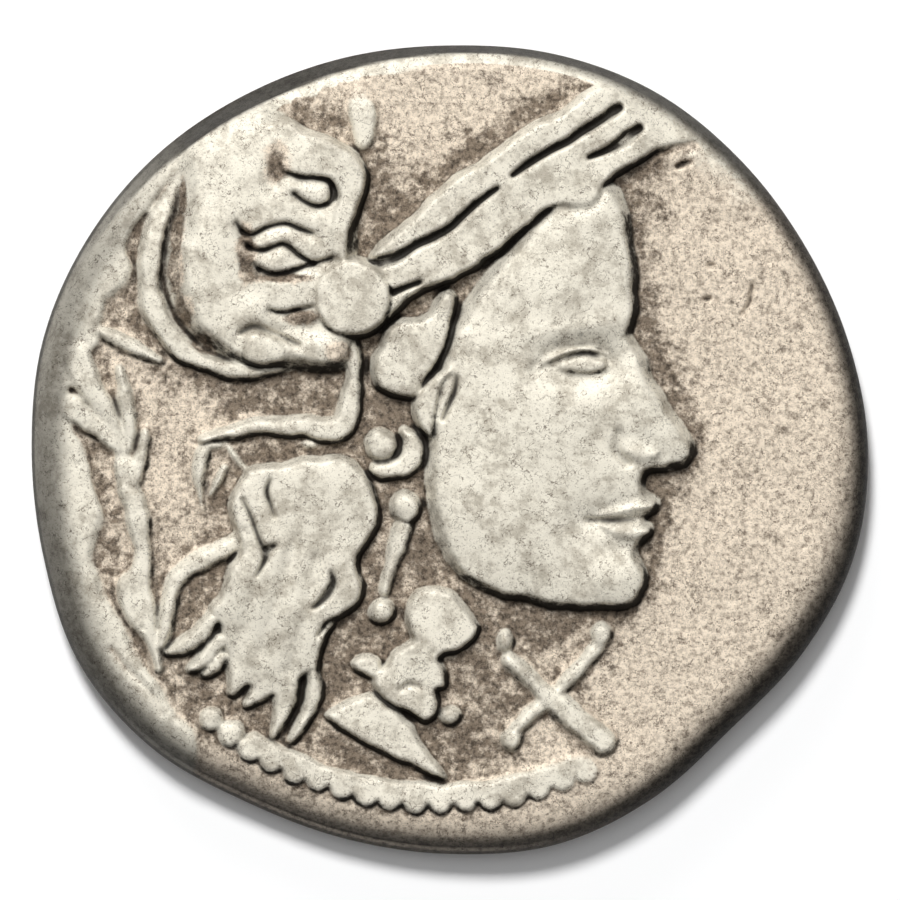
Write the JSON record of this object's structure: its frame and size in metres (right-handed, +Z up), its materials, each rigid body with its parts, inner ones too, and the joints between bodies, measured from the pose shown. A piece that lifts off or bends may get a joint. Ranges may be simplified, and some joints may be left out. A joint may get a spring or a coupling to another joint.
{
  "type": "ancient silver coin",
  "caption": "Worn hammered silver denarius lying flat: helmeted head in profile with a branch behind it, crossed-bar value mark, dotted border, chariot on the underside.",
  "frame": {"origin": "centre of the coin's box in plan, on the plane of the worn tops of the reverse, where it rests", "axes": "+Z up out of the obverse, +Y to the top of the head, +X the way the head faces"},
  "size_m": [0.019, 0.0184, 0.0022],
  "materials": {
    "silver": "worn satin silver with dark toning in the low places"
  },
  "bodies": {
    "root": {"coin": "silver"}
  },
  "joints": []
}
